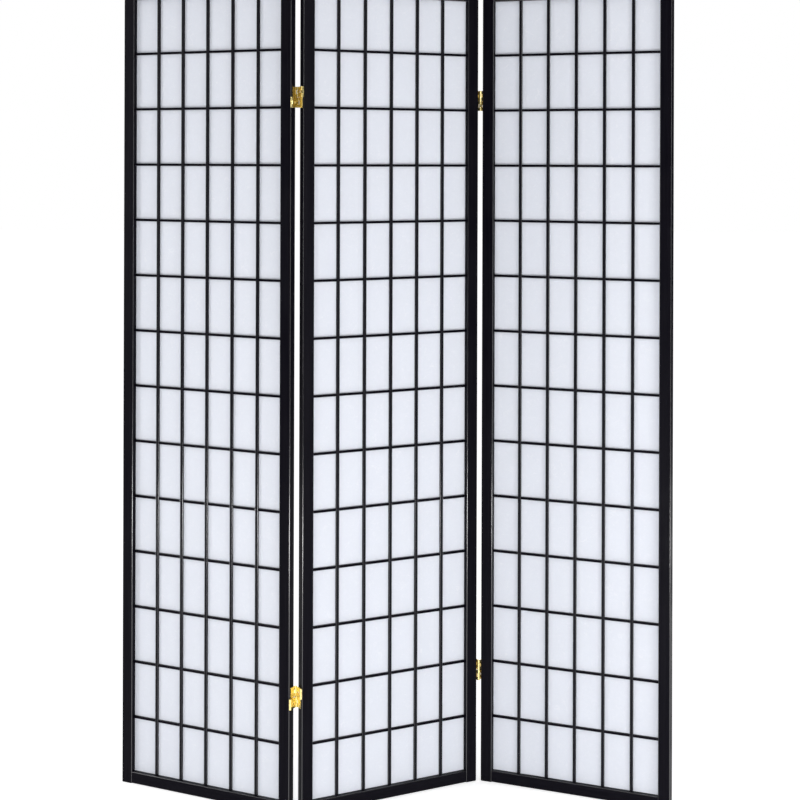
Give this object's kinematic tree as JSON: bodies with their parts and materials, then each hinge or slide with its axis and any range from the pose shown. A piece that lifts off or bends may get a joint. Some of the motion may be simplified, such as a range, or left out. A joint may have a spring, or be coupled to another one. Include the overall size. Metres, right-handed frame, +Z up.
{
  "type": "shoji folding screen",
  "caption": "Folding shoji screen: black wooden panels with a fine lattice in front of translucent paper, joined edge to edge by double-action brass hinges.",
  "frame": {"origin": "middle of the ground that the standing screen covers, on the floor", "axes": "+Z up, -Y out of the lattice side that faces the viewer, +X to the viewer's right"},
  "size_m": [1.2128, 0.246, 1.784],
  "materials": {
    "frame": "satin black lacquer over wood",
    "lattice": "satin black lacquer over thin wooden bars",
    "paper": "matt off-white shoji paper with fine fibres, translucent",
    "hinge": "polished brass sheet",
    "hinge_pin": "drawn brass wire"
  },
  "bodies": {
    "middle_panel": {"middle_left_stile": "frame", "middle_right_stile": "frame", "middle_bottom_rail": "frame", "middle_top_rail": "frame", "middle_lattice": "lattice", "middle_paper": "paper", "left_upper_hinge_inner_leaf": "hinge", "left_lower_hinge_inner_leaf": "hinge", "right_upper_hinge_inner_leaf": "hinge", "right_lower_hinge_inner_leaf": "hinge", "left_upper_hinge_top_front_pin": "hinge_pin", "left_upper_hinge_bottom_back_pin": "hinge_pin", "left_lower_hinge_top_front_pin": "hinge_pin", "left_lower_hinge_bottom_back_pin": "hinge_pin", "right_upper_hinge_top_back_pin": "hinge_pin", "right_upper_hinge_bottom_front_pin": "hinge_pin", "right_lower_hinge_top_back_pin": "hinge_pin", "right_lower_hinge_bottom_front_pin": "hinge_pin"},
    "left_panel": {"left_left_stile": "frame", "left_right_stile": "frame", "left_bottom_rail": "frame", "left_top_rail": "frame", "left_lattice": "lattice", "left_paper": "paper", "left_upper_hinge_outer_leaf": "hinge", "left_lower_hinge_outer_leaf": "hinge", "left_upper_hinge_top_back_pin_upper_stub": "hinge_pin", "left_upper_hinge_top_back_pin_lower_stub": "hinge_pin", "left_upper_hinge_bottom_front_pin": "hinge_pin", "left_lower_hinge_top_back_pin_upper_stub": "hinge_pin", "left_lower_hinge_top_back_pin_lower_stub": "hinge_pin", "left_lower_hinge_bottom_front_pin": "hinge_pin"},
    "right_panel": {"right_left_stile": "frame", "right_right_stile": "frame", "right_bottom_rail": "frame", "right_top_rail": "frame", "right_lattice": "lattice", "right_paper": "paper", "right_upper_hinge_outer_leaf": "hinge", "right_lower_hinge_outer_leaf": "hinge", "right_upper_hinge_top_front_pin_upper_stub": "hinge_pin", "right_upper_hinge_top_front_pin_lower_stub": "hinge_pin", "right_upper_hinge_bottom_back_pin": "hinge_pin", "right_lower_hinge_top_front_pin_upper_stub": "hinge_pin", "right_lower_hinge_top_front_pin_lower_stub": "hinge_pin", "right_lower_hinge_bottom_back_pin": "hinge_pin"},
    "left_bottom_links": {"left_upper_hinge_bottom_link": "hinge", "left_lower_hinge_bottom_link": "hinge"},
    "left_top_links": {"left_upper_hinge_top_link": "hinge", "left_lower_hinge_top_link": "hinge"},
    "right_bottom_links": {"right_upper_hinge_bottom_link": "hinge", "right_lower_hinge_bottom_link": "hinge"},
    "right_top_links": {"right_upper_hinge_top_link": "hinge", "right_lower_hinge_top_link": "hinge"}
  },
  "joints": [
    {"name": "left_fold", "type": "hinge", "parent": "middle_panel", "child": "left_bottom_links", "pos_m": [-0.20533, -0.09907, 0.892], "axis": [0, 0, -1], "range_deg": [-56.9, 123.1]},
    {"name": "left_reverse_fold", "type": "hinge", "parent": "left_bottom_links", "child": "left_panel", "pos_m": [-0.21636, -0.12016, 0.892], "axis": [0, 0, 1], "range_deg": [0, 90]},
    {"name": "left_top_links_turn", "type": "hinge", "parent": "middle_panel", "child": "left_top_links", "pos_m": [-0.19369, -0.11982, 0.892], "axis": [0, 0, 1], "range_deg": [0, 90]},
    {"name": "right_fold", "type": "hinge", "parent": "middle_panel", "child": "right_bottom_links", "pos_m": [0.19526, 0.09844, 0.892], "axis": [0, 0, -1], "range_deg": [-53.6, 126.4]},
    {"name": "right_reverse_fold", "type": "hinge", "parent": "right_bottom_links", "child": "right_panel", "pos_m": [0.20505, 0.12013, 0.892], "axis": [0, 0, 1], "range_deg": [0, 90]},
    {"name": "right_top_links_turn", "type": "hinge", "parent": "middle_panel", "child": "right_top_links", "pos_m": [0.18361, 0.1192, 0.892], "axis": [0, 0, 1], "range_deg": [0, 90]}
  ],
  "couplings": [
    {"joint": "left_top_links_turn", "follows": "left_reverse_fold", "ratio": 1},
    {"joint": "right_top_links_turn", "follows": "right_reverse_fold", "ratio": 1}
  ]
}
